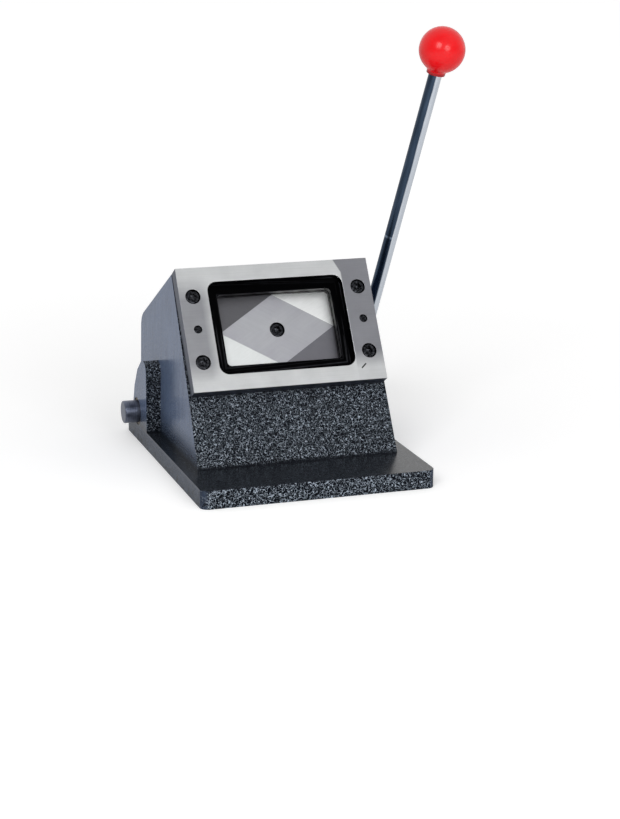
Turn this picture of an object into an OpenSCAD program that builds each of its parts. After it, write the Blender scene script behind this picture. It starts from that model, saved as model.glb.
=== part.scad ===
// Hand lever die cutter for plastic cards, in millimetres.
// Origin: centre of the base's underside. -Y is the front, +Z is up,
// +X is the lever's side.

/* [Base and housing] */
// Base plate beyond the front plate on each side
ledge = 13; // [8:0.5:30]
// Base plate, front to back
base_d = 215; // [175:0.5:260]
// Base plate thickness
base_t = 13.3; // [9:0.1:18]
// Radius of the base plate's upright corners
base_r = 6; // [2:0.5:15]
// Setback of the front plate's lower edge from the base's front edge
foot_y = 64.4; // [55:0.1:75]
// Height of the front plate's lower edge
foot_z = 65.2; // [56:0.1:78]
// Height of the housing's roof at the rear
rear_z = 89; // [80:0.5:100]
// Thickness of the casting's walls
wall = 8.5; // [6:0.5:11]
// Side draft of the housing, each side, in degrees
draft = 1.05; // [0:0.05:2]
// Housing beyond the front plate at the base, each side
flare = 2.3; // [1:0.1:4]
// Height of the side lugs
lug_top = 66.5; // [55:0.5:75]
// Side lug in front of the shaft's axis
lug_fore = 28.5; // [22:0.5:34]
// Forward run of the sloping apron from top to bottom
apron_run = 26.5; // [18:0.5:34]

/* [Front plate] */
// Lean of the front plate from upright, in degrees
lean = 32; // [26:0.5:38]
// Front plate beyond the card on each side
rim_x = 29.5; // [27:0.1:36]
// Front plate beyond the card above and below
rim_y = 19.75; // [16:0.05:26]
// Front plate thickness
plate_t = 10; // [8:0.5:14]
// Relief beyond the card all round
relief_w = 8; // [5:0.5:11]
// Window corner radius
win_r = 7; // [4:0.5:10]
// Depth of the relief, the rest is the cutting land
relief = 6; // [3:0.5:7]
// Height of the sheet slot behind the plate
slot = 1.5; // [1:0.1:3]
// Screw columns from the plate's side edges
screw_in = 10.1; // [8:0.1:12]
// Screw rows from the middle
screw_y = 24.8; // [14:0.1:36]
// Guide plate beyond the card at the sides
guide_x = 12; // [10:0.5:14]
// Guide plate beyond the card above and below
guide_y = 13; // [10:0.5:14]
// Guide plate thickness
guide_t = 12; // [8:0.5:14]

/* [Card and punch] */
// Card width
card_w = 86; // [70:0.5:95]
// Card height
card_h = 54; // [44:0.5:60]
// Card corner radius
card_r = 3; // [1:0.25:6]
// Gap between punch and guide on each side
punch_gap = 0.08; // [0.05:0.01:0.1]
// Punch face behind the sheet slot at rest
punch_rest = 1.4; // [1:0.1:3]
// Punch thickness
punch_t = 30; // [22:0.5:36]
// How far the ground corners fall below the diamond
facet = 1.6; // [0.5:0.1:3]
// Ram diameter
ram_d = 30; // [24:0.5:34]

/* [Shaft and cam] */
// Shaft diameter
shaft_d = 17; // [14:0.5:18]
// Shaft axis in front of the base's rear edge
shaft_back = 34.5; // [32:0.5:44]
// Shaft axis height
shaft_z = 22.8; // [21:0.1:28]
// Shaft end beyond the left lug
left_out = 11; // [6:0.5:16]
// Shaft end beyond the right lug
right_out = 19; // [15:0.5:26]
// How far the thrust pad reaches past the lobe's line on it
pad_land = 3; // [2:0.5:6]
// Eccentricity of the cam's lobe
ecc = 8; // [6:0.5:9]
// Radius of the lobe
cam_r = 22; // [20:0.5:23]
// Lever swing, in degrees
swing = 60; // [40:1:60]
// Running clearance on radius in the bushes
run_gap = 0.04; // [0.02:0.01:0.08]

/* [Lever] */
// Rod diameter
rod_d = 10; // [8:0.5:12]
// Gap between the rod and the right lug
rod_gap = 1; // [0.5:0.5:5]
// Forward lean of the resting lever, in degrees
lever_lean = 14; // [0:0.5:25]
// Height of the rod's bend above the shaft
bend_h = 46; // [35:0.5:60]
// Outward bend, in degrees
bend_a = 9.1; // [0:0.1:14]
// Bend to ball centre
rod_l = 236.9; // [190:0.1:280]
// Ball diameter
ball_d = 34; // [28:0.5:42]

/* [Hidden] */
e = 0.01;
sl = sin(lean);
cl = cos(lean);
plate_w = card_w + 2 * rim_x;
plate_h = card_h + 2 * rim_y;
base_w = plate_w + 2 * ledge;
win_w = card_w + 2 * relief_w;
win_h = card_h + 2 * relief_w;
screw_x = plate_w / 2 - screw_in;
die_y = -base_d / 2 + foot_y + plate_h / 2 * sl;
die_z = foot_z + plate_h / 2 * cl;
s0 = plate_t + slot;               // housing's front face behind the plate
front_w = 20;                      // thickness of the front frame
hw = plate_w / 2 + flare;          // housing half width at the base
in_w = plate_w - 2 * wall;         // inner width between the walls
lug_x = base_w / 2;                // outer face of the lugs
shaft_y = base_d / 2 - shaft_back;
rear_y = base_d / 2 - 2;
guide_w = card_w + 2 * guide_x;
guide_h = card_h + 2 * guide_y;
gs_x = card_w / 2 + guide_x / 2;   // its screws
gs_y = card_h / 2 + guide_y / 2 + 0.5;
punch_in = s0 + punch_rest;        // punch face behind the plate's front
ph = punch_in + punch_t;           // punch back behind the plate's front
web_f = ph + 15;                   // cross web, front and back
web_b = web_f + 14;
// shaft axis in the front plate's frame
sv_y = shaft_y - die_y;
sv_z = shaft_z - die_z;
sly = sv_y * sl + sv_z * cl;
slz = -sv_y * cl + sv_z * sl;
half = swing / 2;
pad_z = slz - ecc * sin(half) + cam_r + 0.15;   // pad's rear face
ram_z = pad_z + 2;                 // ram's rear end
col_z = ram_z + 1.6;               // rear face of the spring collar
travel = 2 * ecc * sin(half);
touch_y = sly + ecc * (1 + cos(half)) / 2;      // where the lobe touches the pad
pad_d = max(ram_d - 4, 2 * (abs(touch_y) + pad_land));
hub_d = shaft_d + 13;              // cam hub
bush_d = shaft_d + 4;
rod_out = rod_gap + rod_d / 2;     // rod's axis beyond the right lug
ap_y = die_y - plate_h / 2 * sl + s0 * cl - apron_run;  // apron's foot
in_y0 = ap_y + 11;                 // inner cavity, front and rear at the base
in_y1 = rear_y - wall;

// node names
$fn = 64;

// point of the plate's frame (up the slope, outwards) in the side view
function lp(y, z) = [die_y + y * sl - z * cl, die_z + y * cl + z * sl];

// children stand in the plate's frame: z = 0 is its front face
module on_plate() translate([0, die_y, die_z]) rotate([90 - lean, 0, 0]) children();
// children stand on the shaft's axis, along X
module on_shaft() translate([0, shaft_y, shaft_z]) children();
// side view outline drawn along X
module along_x(x0, x1, pts) translate([x0, 0, 0]) rotate([90, 0, 90])
  linear_extrude(height = x1 - x0) polygon(pts);
module rod_x(d, x0, x1) translate([x0, 0, 0]) rotate([0, 90, 0])
  cylinder(d = d, h = x1 - x0);
module slab(w, h, r, z0, z1) translate([0, 0, z0]) union() {
  translate([-w / 2 + r, -h / 2, 0]) cube([w - 2 * r, h, z1 - z0]);
  translate([-w / 2, -h / 2 + r, 0]) cube([w, h - 2 * r, z1 - z0]);
  for (x = [-1, 1], y = [-1, 1])
    translate([x * (w / 2 - r), y * (h / 2 - r), 0]) cylinder(r = r, h = z1 - z0);
}
module four(x, y) for (i = [-1, 1], j = [-1, 1]) translate([i * x, j * y, 0]) children();
module hex(af, h) cylinder(d = af / cos(30), h = h, $fn = 6);

// base plate and hollow housing in one casting
roof_a = lp(plate_h / 2, -s0);
foot_a = lp(-plate_h / 2, -s0);
module base_block() slab(base_w, base_d, base_r, 0, base_t);
module housing_block() difference() {
  union() {
    along_x(-hw - 2, hw + 2, [[ap_y, base_t - 1], foot_a, roof_a,
      [rear_y - 6, rear_z + 3.4], [rear_y - 1.8, rear_z - 0.8],
      [rear_y, rear_z - 6], [rear_y, base_t - 1]]);
  }
  for (s = [-1, 1]) translate([s * hw, 0, base_t]) rotate([0, -s * draft, 0])
    translate([s > 0 ? 0 : -40, -base_d, -20]) cube([40, 2 * base_d, 260]);
}
module side_lug() along_x(hw - 12, lug_x, [[shaft_y - lug_fore, base_t - 1],
  [shaft_y - lug_fore, lug_top - 6.5], [shaft_y - lug_fore + 2, lug_top - 2],
  [shaft_y - lug_fore + 7.5, lug_top], [shaft_y - lug_fore + 14.5, lug_top - 1.5],
  [shaft_y - 2, lug_top - 10.7], [shaft_y + 7.5, lug_top - 25],
  [shaft_y + 12, shaft_z + 5.2], [shaft_y + 14.5, shaft_z - 2.8],
  [shaft_y + 16, base_t - 1]]);
module cavity() along_x(-in_w / 2, in_w / 2, [[in_y0, -1], [in_y0, base_t],
  lp(-plate_h / 2 + 3, -s0 - front_w), lp(plate_h / 2 - wall, -s0 - front_w),
  [in_y1, rear_z - 5], [in_y1, -1]]);
module ram_web() intersection() {
  on_plate() translate([-in_w / 2 - 2, -34, -web_b]) cube([in_w + 4, 34 + plate_h / 2, web_b - web_f]);
  along_x(-hw, hw, [[in_y0, base_t], foot_a, roof_a, [rear_y - 6, rear_z], [rear_y - 6, base_t]]);
}
// cast stop for the cam's heel
heel = ecc * cos(half) + sqrt(cam_r * cam_r - 4);
heel_y = shaft_y + heel * sl + 2 * cl + 0.2;
heel_z = shaft_z + heel * cl - 2 * sl;
module heel_stop() translate([-9, heel_y, heel_z - 8])
  cube([18, in_y1 - heel_y + 1, 20]);
cov_w = in_w + 14;
cov_d = in_y1 - in_y0 + 12;
cov_y = (in_y0 + in_y1) / 2;
module frame_casting() color([0.16, 0.17, 0.2]) difference() {
  union() {
    difference() {
      union() {
        base_block();
        housing_block();
        side_lug();
        mirror([1, 0, 0]) side_lug();
      }
      cavity();
    }
    ram_web();
    heel_stop();
  }
  on_plate() {
    translate([-guide_w / 2, -guide_h / 2, -s0 - guide_t]) cube([guide_w, guide_h, guide_t + 1]);
    translate([-card_w / 2 - 5, -card_h / 2 - 5, -s0 - front_w - 2])
      cube([card_w + 10, card_h + 10, front_w + 2]);
    four(screw_x, screw_y) translate([0, 0, -s0 - 14]) cylinder(d = 6, h = 15);
    for (x = [-1, 1]) translate([x * screw_x, 0, -s0 - 12]) cylinder(d = 6, h = 13);
    four(gs_x, gs_y) translate([0, 0, -s0 - guide_t - 7]) cylinder(d = 5, h = 8);
    translate([0, 0, -web_b - 1]) cylinder(d = ram_d + 6, h = web_b - web_f + 2);
  }
  on_shaft() {
    rod_x(bush_d, -lug_x - 1, -in_w / 2 + 3);
    rod_x(bush_d, in_w / 2 - 3, lug_x + 1);
  }
  translate([-cov_w / 2, cov_y - cov_d / 2, -1]) cube([cov_w, cov_d, 3]);
  translate([0, cov_y, -1]) four(cov_w / 2 - 4, cov_d / 2 - 12) cylinder(d = 4, h = 11);
}
module bottom_cover() color([0.5, 0.51, 0.53]) difference() {
  translate([-cov_w / 2 + 0.3, cov_y - cov_d / 2 + 0.3, 0]) cube([cov_w - 0.6, cov_d - 0.6, 2]);
  translate([0, cov_y, -1]) four(cov_w / 2 - 4, cov_d / 2 - 12) cylinder(d = 4, h = 4);
  translate([0, cov_y, -e]) four(cov_w / 2 - 4, cov_d / 2 - 12) cylinder(d1 = 7, d2 = 4, h = 1.6);
}
module cover_screws() color([0.3, 0.3, 0.32]) translate([0, cov_y, 0])
  four(cov_w / 2 - 4, cov_d / 2 - 12) difference() {
    union() {
      cylinder(d1 = 6.9, d2 = 4, h = 1.5);
      cylinder(d = 4, h = 9);
    }
    translate([0, 0, -e]) hex(2.5, 1.3);
  }

// front plate with the window, and what locates it
module die_plate() color([0.72, 0.73, 0.74]) on_plate() difference() {
  translate([-plate_w / 2, -plate_h / 2, -plate_t]) cube([plate_w, plate_h, plate_t]);
  slab(win_w, win_h, win_r, -relief, 1);
  slab(card_w + 2 * punch_gap, card_h + 2 * punch_gap, card_r + punch_gap, -plate_t - 1, 1);
  four(screw_x, screw_y) {
    translate([0, 0, -plate_t - 1]) cylinder(d = 6, h = plate_t + 2);
    translate([0, 0, -6.6]) cylinder(d = 11, h = 7);
  }
  for (x = [-1, 1]) translate([x * screw_x, 0, -plate_t - 1]) cylinder(d = 6, h = plate_t + 2);
}
module cap_screw(d, head, hh, l, af) difference() {
  union() {
    translate([0, 0, -hh]) cylinder(d = head, h = hh);
    translate([0, 0, -hh - l]) cylinder(d = d, h = l + e);
  }
  translate([0, 0, -hh / 2]) hex(af, hh);
}
module die_screws() color([0.1, 0.1, 0.11]) on_plate() four(screw_x, screw_y)
  translate([0, 0, -0.6]) cap_screw(6, 10, 6, 16, 5);
module dowel_pins() color([0.2, 0.2, 0.22]) on_plate() for (x = [-1, 1])
  translate([x * screw_x, 0, -s0 - 11.8]) cylinder(d = 6, h = s0 + 11);
module sheet_spacers() color([0.25, 0.25, 0.27]) on_plate() for (s = [-1, 1]) difference() {
  translate([s * screw_x - 7.5, -plate_h / 2 + 1, -s0]) cube([15, plate_h - 2, slot]);
  for (y = [-screw_y, 0, screw_y]) translate([s * screw_x, y, -s0 - 1]) cylinder(d = 6, h = slot + 2);
}
module guide_plate() color([0.6, 0.61, 0.62]) on_plate() difference() {
  translate([-guide_w / 2, -guide_h / 2, -s0 - guide_t]) cube([guide_w, guide_h, guide_t]);
  slab(card_w + 2 * punch_gap, card_h + 2 * punch_gap, card_r + punch_gap, -s0 - guide_t - 1, 0);
  four(gs_x, gs_y) {
    translate([0, 0, -s0 - guide_t - 1]) cylinder(d = 5, h = guide_t + 2);
    translate([0, 0, -s0 - 2.7]) cylinder(d1 = 5, d2 = 10, h = 2.7 + e);
  }
}
module guide_screws() color([0.3, 0.3, 0.32]) on_plate() four(gs_x, gs_y) difference() {
  union() {
    translate([0, 0, -s0 - 2.6]) cylinder(d1 = 5, d2 = 9.7, h = 2.5);
    translate([0, 0, -s0 - 18]) cylinder(d = 5, h = 16);
  }
  translate([0, 0, -s0 - 1.9]) hex(3, 3);
}

// punch: flat diamond, four corners ground down
module punch() color([0.66, 0.67, 0.69]) on_plate() difference() {
  slab(card_w, card_h, card_r, -ph, -punch_in);
  for (i = [-1, 1], j = [-1, 1]) punch_corner(i, j);
  translate([0, 0, -punch_in - 7]) cylinder(d = 11, h = 8);
  translate([0, 0, -ph - 1]) cylinder(d = 6, h = punch_t + 2);
}
edge_a = atan2(card_h, card_w);
edge_n = card_w * card_h / 2 / sqrt(card_w * card_w + card_h * card_h);
module punch_corner(i, j) mirror([i < 0 ? 1 : 0, 0, 0]) mirror([0, j < 0 ? 1 : 0, 0])
  translate([0, 0, -punch_in]) rotate([0, 0, 90 - edge_a]) translate([edge_n, 0, 0])
    rotate([0, atan(facet / edge_n), 0]) translate([0, -80, 0]) cube([60, 160, 20]);
module punch_screw() color([0.1, 0.1, 0.11]) on_plate()
  translate([0, 0, -punch_in - 0.8]) cap_screw(6, 10, 6, punch_t + 6, 5);
module ram() color([0.6, 0.6, 0.62]) on_plate() difference() {
  union() {
    translate([0, 0, ram_z]) cylinder(d = ram_d, h = -ph - ram_z);
  }
  translate([0, 0, -ph - 16]) cylinder(d = 6, h = 17);
  translate([0, 0, ram_z - 1]) cylinder(d = 20, h = 4);
  translate([0, 0, col_z - 1.2]) difference() {
    cylinder(d = ram_d + 4, h = 1.2);
    translate([0, 0, -1]) cylinder(d = ram_d - 2.4, h = 4);
  }
}
module thrust_pad() color([0.5, 0.5, 0.53]) on_plate() union() {
  translate([0, 0, pad_z]) cylinder(d = pad_d, h = 2);
  translate([0, 0, ram_z - e]) cylinder(d = 20, h = 3 + e);
}
module ram_bush() color([0.7, 0.56, 0.3]) on_plate() difference() {
  union() {
    translate([0, 0, -web_b]) cylinder(d = ram_d + 6, h = web_b - web_f);
    translate([0, 0, -web_b - 3]) cylinder(d = ram_d + 14, h = 3);
  }
  translate([0, 0, -web_b - 4]) cylinder(d = ram_d + 2 * run_gap, h = web_b - web_f + 5);
}
module return_spring() color([0.35, 0.36, 0.38]) on_plate() difference() {
  translate([0, 0, col_z + 4]) cylinder(d = ram_d + 9, h = -web_b - 3 - col_z - 4);
  translate([0, 0, col_z + 3]) cylinder(d = ram_d + 3, h = -web_b - col_z);
}
module spring_collar() color([0.4, 0.4, 0.43]) on_plate() difference() {
  translate([0, 0, col_z]) cylinder(d = ram_d + 14, h = 4);
  translate([0, 0, col_z - 1]) cylinder(d = ram_d, h = 6);
}
module ram_ring() color([0.25, 0.25, 0.27]) on_plate() difference() {
  translate([0, 0, col_z - 1.2]) cylinder(d = ram_d + 6, h = 1.2);
  translate([0, 0, col_z - 2]) cylinder(d = ram_d - 2.4, h = 4);
}

// cross shaft, its bushes and collars
module cross_shaft() color([0.3, 0.31, 0.34]) on_shaft() difference() {
  rod_x(shaft_d, -lug_x - left_out, lug_x + right_out);
  translate([lug_x + rod_out, 0, 0]) rotate([lever_lean, 0, 0])
    translate([0, 0, -20]) cylinder(d = rod_d, h = 40);
  rod_x(6, lug_x + rod_out, lug_x + right_out + 1);
  translate([16, 0, -20]) cylinder(d = 6, h = 40);
}
module bush() difference() {
  union() {
    rod_x(bush_d, in_w / 2, lug_x - 0.5);
    rod_x(bush_d + 8, in_w / 2 - 2, in_w / 2);
  }
  rod_x(shaft_d + 2 * run_gap, in_w / 2 - 3, lug_x);
}
module right_bush() color([0.7, 0.56, 0.3]) on_shaft() bush();
module left_bush() color([0.7, 0.56, 0.3]) on_shaft() mirror([1, 0, 0]) bush();
module shaft_collars() color([0.35, 0.36, 0.38]) on_shaft() for (s = [-1, 1])
  translate([s * (in_w / 2 - 7.4), 0, 0]) difference() {
    rod_x(shaft_d + 11, -5, 5);
    rod_x(shaft_d, -6, 6);
    cylinder(d = 5, h = 20);
  }
module collar_screws() color([0.12, 0.12, 0.13]) on_shaft() for (s = [-1, 1])
  translate([s * (in_w / 2 - 7.4), 0, shaft_d / 2]) difference() {
    cylinder(d = 5, h = 5);
    translate([0, 0, 2.5]) hex(2.5, 4);
  }
// cam: hub with an eccentric lobe, drawn at rest in the plate's directions
module cam() color([0.4, 0.41, 0.44]) on_shaft() difference() {
  union() {
    rod_x(hub_d, -11, 22);
    rotate([90 - lean, 0, 0]) intersection() {
      translate([0, ecc * cos(half), -ecc * sin(half)]) rod_x(2 * cam_r, -11, 11);
      translate([-12, -hub_d / 2, -2]) cube([24, 60, 60]);
    }
  }
  rod_x(shaft_d, -12, 23);
  translate([16, 0, -20]) cylinder(d = 6, h = 40);
}
module cam_pin() color([0.2, 0.2, 0.22]) on_shaft()
  translate([16, 0, 0.4 - hub_d / 2]) cylinder(d = 6, h = hub_d - 0.8);

// lever, bent slightly outwards above the shaft
module on_lever() on_shaft() translate([lug_x + rod_out, 0, 0])
  rotate([lever_lean, 0, 0]) children();
module past_bend() translate([0, 0, bend_h]) rotate([0, bend_a, 0]) children();
neck_z = rod_l - ball_d / 2 - 1.5;
bend_r = 50;
bend_s = bend_r * tan(bend_a / 2);  // bend's start below its corner
module lever_rod() color([0.75, 0.77, 0.8]) union() {
  on_lever() translate([0, 0, -11]) cylinder(d = rod_d, h = bend_h + 11 - bend_s);
  on_lever() translate([bend_r, 0, bend_h - bend_s]) mirror([1, 0, 0]) rotate([90, 0, 0])
    rotate_extrude(angle = bend_a) translate([bend_r, 0]) circle(d = rod_d);
  on_lever() past_bend() translate([0, 0, bend_s]) cylinder(d = rod_d, h = neck_z - bend_s);
  on_lever() past_bend() translate([0, 0, neck_z - e]) cylinder(d = 6, h = 16);
}
module lever_grub_screw() color([0.12, 0.12, 0.13]) on_shaft() difference() {
  rod_x(6, lug_x + rod_out + rod_d / 2, lug_x + right_out - 1.5);
  translate([lug_x + right_out - 4.5, 0, 0]) rotate([0, 90, 0]) hex(3, 5);
}
module knob_insert() color([0.7, 0.56, 0.3]) on_lever() past_bend() difference() {
  translate([0, 0, neck_z]) cylinder(d = 10, h = 18);
  translate([0, 0, neck_z - 1]) cylinder(d = 6, h = 17);
}
module ball_knob() color([0.8, 0.08, 0.08]) on_lever() past_bend() difference() {
  union() {
    translate([0, 0, rod_l]) sphere(d = ball_d);
    translate([0, 0, neck_z]) cylinder(d = 14, h = 8);
  }
  translate([0, 0, neck_z - 1]) cylinder(d = 10, h = 19);
}

frame_casting();
bottom_cover();
cover_screws();
die_plate();
die_screws();
dowel_pins();
sheet_spacers();
guide_plate();
guide_screws();
punch();
punch_screw();
ram();
ram_bush();
return_spring();
spring_collar();
ram_ring();
thrust_pad();
cross_shaft();
left_bush();
right_bush();
shaft_collars();
collar_screws();
cam();
cam_pin();
lever_rod();
lever_grub_screw();
knob_insert();
ball_knob();
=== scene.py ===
# Hand lever die cutter for plastic cards: the looks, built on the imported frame.
# Sizes in capitals are in millimetres and degrees, and repeat the part's own.
import math

import bmesh
import bpy
from mathutils import Matrix, Vector


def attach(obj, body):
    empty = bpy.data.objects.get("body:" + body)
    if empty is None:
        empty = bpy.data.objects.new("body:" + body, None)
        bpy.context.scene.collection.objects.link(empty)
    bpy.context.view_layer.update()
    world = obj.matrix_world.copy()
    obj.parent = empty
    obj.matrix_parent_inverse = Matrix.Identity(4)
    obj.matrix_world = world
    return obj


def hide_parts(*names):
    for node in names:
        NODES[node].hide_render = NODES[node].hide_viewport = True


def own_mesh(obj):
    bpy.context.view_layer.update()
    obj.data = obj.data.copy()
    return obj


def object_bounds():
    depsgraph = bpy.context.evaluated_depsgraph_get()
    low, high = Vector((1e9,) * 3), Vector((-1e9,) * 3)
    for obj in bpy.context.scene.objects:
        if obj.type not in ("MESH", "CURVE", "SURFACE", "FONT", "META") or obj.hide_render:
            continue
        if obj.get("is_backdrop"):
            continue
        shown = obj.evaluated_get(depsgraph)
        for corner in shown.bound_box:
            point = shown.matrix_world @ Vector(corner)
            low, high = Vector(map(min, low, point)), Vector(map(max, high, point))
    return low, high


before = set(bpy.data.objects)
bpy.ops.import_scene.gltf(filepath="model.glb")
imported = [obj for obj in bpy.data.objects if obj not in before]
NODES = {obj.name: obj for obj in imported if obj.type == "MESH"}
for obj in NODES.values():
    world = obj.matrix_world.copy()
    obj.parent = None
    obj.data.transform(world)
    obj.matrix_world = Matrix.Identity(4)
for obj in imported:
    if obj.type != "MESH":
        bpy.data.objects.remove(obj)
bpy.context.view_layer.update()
MM = 0.001  # in metres

# the camera was fitted to the plate, the window, the base and the lever:
# a focal length of 2000 pixels in a picture that is 819 pixels high
PICTURE_HIGH = 819
FOCAL_PIXELS = 2000
SENSOR = 36
CAMERA_AT = (-431.18, -1353.26, 425.49)
CAMERA_TURN, CAMERA_DIP, CAMERA_ROLL = 18.7421, 15.3281, 0.3904

LEAN = 32
DIE_Y, DIE_Z = -18.326, 104.846
PLATE_T = 10
WINDOW_W, WINDOW_H = 102, 70
CARD_W, CARD_H = 86, 54
SLOT = 1.5
PUNCH_IN, PUNCH_T, SEAT_R = 12.9, 30, 5.6
SCREW_X, SCREW_Y = 62.4, 24.8
GUIDE_SCREW_X, GUIDE_SCREW_Y = 49, 34
GUIDE_IN = PLATE_T + SLOT
SHAFT_Y, SHAFT_Z, SHAFT_D = 73, 22.8, 17
INNER_W, WALL_X, LUG_X = 128, 72.5, 85.5
BASE_TOP = 13.3
RIGHT_OUT = 19
ROD_OUT, ROD_D = 6, 10
LEVER_LEAN, BEND_H, BEND_A, BEND_R = 14, 46, 9.1, 50
ROD_FOOT, NECK_Z = -11, 218.4
ROD_L, BALL_D = 236.9, 34
REFLECTION_BAND_AT, RUB_RING = -63, 135
SPRING_FAR, SPRING_NEAR, SPRING_R, WIRE, COILS = -95.18, -74.9, 18, 2.9, 3.9
TOOL_FEED = 0.35


def turn(degrees, axis):
    return Matrix.Rotation(math.radians(degrees), 4, axis)


def shift(x, y, z):
    """A shift given in millimetres."""
    return Matrix.Translation((x * MM, y * MM, z * MM))


# z is outwards from the plate's ground face, and along the lever's rod
PLATE = shift(0, DIE_Y, DIE_Z) @ turn(90 - LEAN, "X")
SHAFT = shift(0, SHAFT_Y, SHAFT_Z)
LEVER = SHAFT @ shift(LUG_X + ROD_OUT, 0, 0) @ turn(LEVER_LEAN, "X")
PAST_BEND = LEVER @ shift(0, 0, BEND_H) @ turn(BEND_A, "Y")
SHAFT_LINE = SHAFT @ turn(90, "Y")

lens = bpy.data.cameras.new("camera")
lens.sensor_width = SENSOR
lens.lens = SENSOR * FOCAL_PIXELS / PICTURE_HIGH
lens.clip_start, lens.clip_end = 0.05, 40
camera = bpy.data.objects.new("camera", lens)
camera.matrix_world = (
    shift(*CAMERA_AT)
    @ turn(-CAMERA_TURN, "Z")
    @ turn(90 - CAMERA_DIP, "X")
    @ turn(CAMERA_ROLL, "Z")
)
bpy.context.scene.collection.objects.link(camera)
bpy.context.scene.camera = camera


# ---------------------------------------------------------------- finishes
def paint(hex_colour):
    """An sRGB hex colour as the linear one that a shader takes."""
    parts = [int(hex_colour[i : i + 2], 16) / 255 for i in (1, 3, 5)]
    return (
        *(c / 12.92 if c <= 0.04045 else ((c + 0.055) / 1.055) ** 2.4 for c in parts),
        1.0,
    )


def add(tree, kind, inputs=None, **settings):
    """Adds a node with its settings; an input is a value, a node or a socket."""
    made = tree.nodes.new("ShaderNode" + kind)
    for name, value in settings.items():
        setattr(made, name, value)
    for name, value in (inputs or {}).items():
        if isinstance(value, bpy.types.Node):
            value = next(s for s in value.outputs if s.enabled)
        if isinstance(value, bpy.types.NodeSocket):
            tree.links.new(value, made.inputs[name])
        else:
            made.inputs[name].default_value = value
    return made


def new_finish(name):
    finish = bpy.data.materials.new(name)
    finish.use_nodes = True
    finish.node_tree.nodes.clear()
    return finish, finish.node_tree


def lay_on(tree, inputs):
    """The finish's one surface shader, with its inputs."""
    shader = add(tree, "BsdfPrincipled", inputs)
    add(tree, "OutputMaterial", {"Surface": shader})


def soft_band(tree, value, low, full, end_full, high):
    """1 between full and end_full, fading to 0 at low and at high."""
    rising = add(tree, "MapRange", {"Value": value, 1: low, 2: full, 3: 0.0, 4: 1.0})
    falling = add(
        tree, "MapRange", {"Value": value, 1: end_full, 2: high, 3: 1.0, 4: 0.0}
    )
    return add(tree, "Math", {0: rising, 1: falling}, operation="MULTIPLY")


def millimetres(tree, place=Matrix.Identity(4)):
    """Points of the object in millimetres, as seen from a place on it."""
    return add(
        tree,
        "Mapping",
        {
            "Vector": add(tree, "TexCoord").outputs["Object"],
            "Location": place.translation,
            "Rotation": place.to_euler(),
            "Scale": (MM, MM, MM),
        },
        vector_type="TEXTURE",
    )


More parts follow.
